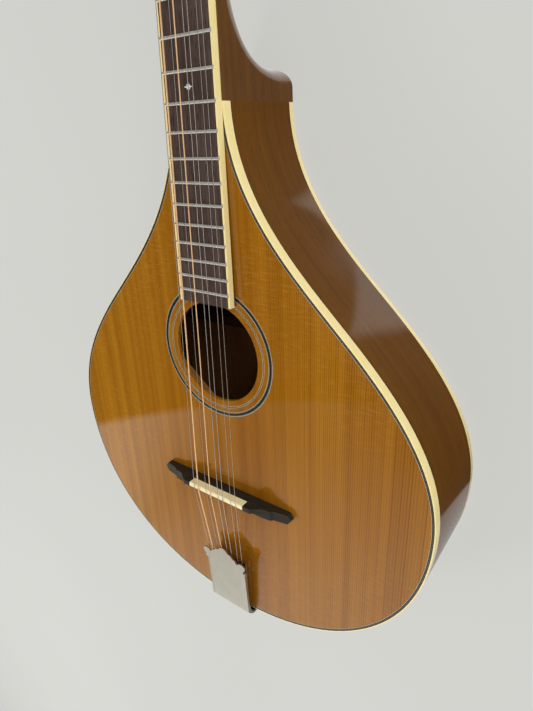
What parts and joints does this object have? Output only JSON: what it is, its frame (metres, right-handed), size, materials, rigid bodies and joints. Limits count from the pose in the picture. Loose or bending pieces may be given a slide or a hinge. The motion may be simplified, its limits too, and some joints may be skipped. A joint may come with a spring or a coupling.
{
  "type": "octave mandolin",
  "caption": "Flat-top octave mandolin: teardrop body, double courses, floating bridge with bone saddle, slide-off tailpiece cover and geared tuners that turn their string posts.",
  "frame": {"origin": "on the outer face of the flat back, on the centre line, directly under the centre of the soundhole", "axes": "+Y runs up the neck to the headstock, +Z out through the soundboard, +X to the treble side; the instrument lies on its back"},
  "size_m": [0.3318, 0.8226, 0.0881],
  "materials": {
    "top_wood": "amber gloss lacquer over straight-grained softwood",
    "mahogany": "brown gloss lacquer",
    "inner_wood": "bare sanded spruce",
    "cream_binding": "aged cream, polished",
    "inlaid_lines": "black and white lines under lacquer",
    "ebony": "oiled, nearly black",
    "rosewood": "oiled dark open grain",
    "steel": "plain",
    "fret_wire": "polished nickel silver",
    "pearl": "white shell",
    "bone": "polished bone",
    "nickel": "nickel plated",
    "satin_nickel": "satin nickel plate",
    "button_cream": "cream plastic",
    "bronze_wound": "phosphor bronze wound on steel",
    "plain_steel": "bright plain steel wire"
  },
  "bodies": {
    "frame": {"soundboard": "top_wood", "back_plate": "mahogany", "rib_treble": "mahogany", "rib_bass": "mahogany", "top_lining": "inner_wood", "back_lining": "inner_wood", "end_blocks": "mahogany", "top_braces": "inner_wood", "back_braces": "inner_wood", "top_binding": "cream_binding", "back_binding": "cream_binding", "top_purfling": "inlaid_lines", "rosette": "inlaid_lines", "neck": "mahogany", "headstock": "mahogany", "headstock_veneer": "ebony", "truss_rod": "steel", "truss_cover": "ebony", "fretboard": "rosewood", "fretboard_binding": "cream_binding", "fretboard_wedge": "rosewood", "frets": "fret_wire", "inlays": "pearl", "nut": "bone", "tuner_plates": "nickel", "small_screws": "nickel", "post_bushings": "nickel", "bridge": "ebony", "saddle": "bone", "tailpiece_base": "nickel", "end_pin": "ebony", "strings_g": "bronze_wound", "strings_d": "bronze_wound", "strings_a": "plain_steel", "strings_e": "plain_steel"},
    "cover": {"tailpiece_cover": "satin_nickel"},
    "knob_1": {"tuner_1_button": "button_cream", "tuner_1_worm": "nickel"},
    "post_1": {"tuner_1_post": "nickel"},
    "knob_2": {"tuner_2_button": "button_cream", "tuner_2_worm": "nickel"},
    "post_2": {"tuner_2_post": "nickel"},
    "knob_3": {"tuner_3_button": "button_cream", "tuner_3_worm": "nickel"},
    "post_3": {"tuner_3_post": "nickel"},
    "knob_4": {"tuner_4_button": "button_cream", "tuner_4_worm": "nickel"},
    "post_4": {"tuner_4_post": "nickel"},
    "knob_5": {"tuner_5_button": "button_cream", "tuner_5_worm": "nickel"},
    "post_5": {"tuner_5_post": "nickel"},
    "knob_6": {"tuner_6_button": "button_cream", "tuner_6_worm": "nickel"},
    "post_6": {"tuner_6_post": "nickel"},
    "knob_7": {"tuner_7_button": "button_cream", "tuner_7_worm": "nickel"},
    "post_7": {"tuner_7_post": "nickel"},
    "knob_8": {"tuner_8_button": "button_cream", "tuner_8_worm": "nickel"},
    "post_8": {"tuner_8_post": "nickel"}
  },
  "joints": [
    {"name": "cover_slide", "type": "slide", "parent": "frame", "child": "cover", "axis": [0, -1, 0], "range_m": [0, 0.045]},
    {"name": "knob_1_turn", "type": "hinge", "parent": "frame", "child": "knob_1", "pos_m": [-0.0215, 0.47448, 0.04061], "axis": [-1, 0, 0], "continuous": true},
    {"name": "post_1_turn", "type": "hinge", "parent": "frame", "child": "post_1", "pos_m": [-0.0215, 0.47174, 0.06171], "axis": [0, 0.2436, 0.9699], "continuous": true},
    {"name": "knob_2_turn", "type": "hinge", "parent": "frame", "child": "knob_2", "pos_m": [-0.0215, 0.49679, 0.03501], "axis": [-1, 0, 0], "continuous": true},
    {"name": "post_2_turn", "type": "hinge", "parent": "frame", "child": "post_2", "pos_m": [-0.0215, 0.49405, 0.05611], "axis": [0, 0.2436, 0.9699], "continuous": true},
    {"name": "knob_3_turn", "type": "hinge", "parent": "frame", "child": "knob_3", "pos_m": [-0.0215, 0.5191, 0.0294], "axis": [-1, 0, 0], "continuous": true},
    {"name": "post_3_turn", "type": "hinge", "parent": "frame", "child": "post_3", "pos_m": [-0.0215, 0.51636, 0.05051], "axis": [0, 0.2436, 0.9699], "continuous": true},
    {"name": "knob_4_turn", "type": "hinge", "parent": "frame", "child": "knob_4", "pos_m": [-0.0215, 0.54141, 0.0238], "axis": [-1, 0, 0], "continuous": true},
    {"name": "post_4_turn", "type": "hinge", "parent": "frame", "child": "post_4", "pos_m": [-0.0215, 0.53866, 0.04491], "axis": [0, 0.2436, 0.9699], "continuous": true},
    {"name": "knob_5_turn", "type": "hinge", "parent": "frame", "child": "knob_5", "pos_m": [0.0215, 0.47448, 0.04061], "axis": [1, 0, 0], "continuous": true},
    {"name": "post_5_turn", "type": "hinge", "parent": "frame", "child": "post_5", "pos_m": [0.0215, 0.47174, 0.06171], "axis": [0, 0.2436, 0.9699], "continuous": true},
    {"name": "knob_6_turn", "type": "hinge", "parent": "frame", "child": "knob_6", "pos_m": [0.0215, 0.49679, 0.03501], "axis": [1, 0, 0], "continuous": true},
    {"name": "post_6_turn", "type": "hinge", "parent": "frame", "child": "post_6", "pos_m": [0.0215, 0.49405, 0.05611], "axis": [0, 0.2436, 0.9699], "continuous": true},
    {"name": "knob_7_turn", "type": "hinge", "parent": "frame", "child": "knob_7", "pos_m": [0.0215, 0.5191, 0.0294], "axis": [1, 0, 0], "continuous": true},
    {"name": "post_7_turn", "type": "hinge", "parent": "frame", "child": "post_7", "pos_m": [0.0215, 0.51636, 0.05051], "axis": [0, 0.2436, 0.9699], "continuous": true},
    {"name": "knob_8_turn", "type": "hinge", "parent": "frame", "child": "knob_8", "pos_m": [0.0215, 0.54141, 0.0238], "axis": [1, 0, 0], "continuous": true},
    {"name": "post_8_turn", "type": "hinge", "parent": "frame", "child": "post_8", "pos_m": [0.0215, 0.53866, 0.04491], "axis": [0, 0.2436, 0.9699], "continuous": true}
  ],
  "couplings": [
    {"joint": "post_1_turn", "follows": "knob_1_turn", "ratio": -0.071429},
    {"joint": "post_2_turn", "follows": "knob_2_turn", "ratio": -0.071429},
    {"joint": "post_3_turn", "follows": "knob_3_turn", "ratio": -0.071429},
    {"joint": "post_4_turn", "follows": "knob_4_turn", "ratio": -0.071429},
    {"joint": "post_5_turn", "follows": "knob_5_turn", "ratio": 0.071429},
    {"joint": "post_6_turn", "follows": "knob_6_turn", "ratio": 0.071429},
    {"joint": "post_7_turn", "follows": "knob_7_turn", "ratio": 0.071429},
    {"joint": "post_8_turn", "follows": "knob_8_turn", "ratio": 0.071429}
  ]
}
